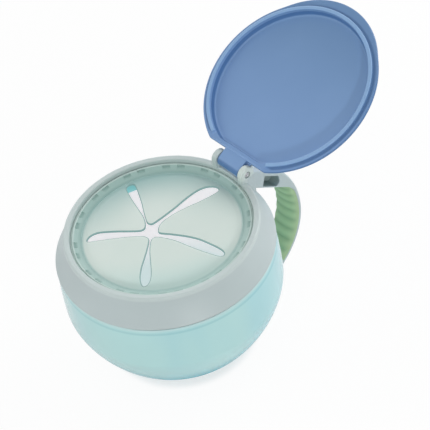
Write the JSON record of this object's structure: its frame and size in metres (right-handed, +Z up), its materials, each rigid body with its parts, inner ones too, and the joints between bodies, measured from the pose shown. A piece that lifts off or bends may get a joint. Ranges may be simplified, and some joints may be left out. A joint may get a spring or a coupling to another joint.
{
  "type": "toddler snack cup",
  "caption": "Round toddler snack cup with a screw-on collar, side carrying handle, flip-open hinged lid and a soft slit membrane that lets a small hand in.",
  "frame": {"origin": "the middle of the flat foot the bowl stands on", "axes": "+X points from the bowl's axis to the hinge and the handle, +Y lies along the hinge pin, +Z is up along the bowl's axis"},
  "size_m": [0.1607, 0.0938, 0.1086],
  "materials": {
    "clear_teal": "translucent tinted moulding, glossy",
    "ring_green": "translucent soft sea green, satin",
    "silicone": "translucent soft silicone, matte",
    "shell_grey": "fine satin moulding",
    "grip_green": "soft overmoulded rubber, matte",
    "pin_steel": "turned steel pin",
    "lid_blue": "fine satin moulding"
  },
  "bodies": {
    "bowl": {"bowl": "clear_teal"},
    "insert": {"flap_ring": "ring_green", "flap_membrane": "silicone"},
    "collar": {"collar": "shell_grey", "handle_grip": "grip_green", "hinge_pin": "pin_steel"},
    "lid": {"lid": "lid_blue"}
  },
  "joints": [
    {"name": "collar_lift", "type": "slide", "parent": "bowl", "child": "insert", "axis": [0, 0, 1], "range_m": [0, 0.008]},
    {"name": "collar_turn", "type": "hinge", "parent": "insert", "child": "collar", "pos_m": [0, 0, 0.06], "axis": [0, 0, 1], "range_deg": [0, 180]},
    {"name": "lid_hinge", "type": "hinge", "parent": "collar", "child": "lid", "pos_m": [0.0403, 0, 0.0698], "axis": [0, 1, 0], "range_deg": [-153.9, 0]}
  ],
  "couplings": [
    {"joint": "collar_turn", "follows": "collar_lift", "rad_per_m": 392.7}
  ]
}
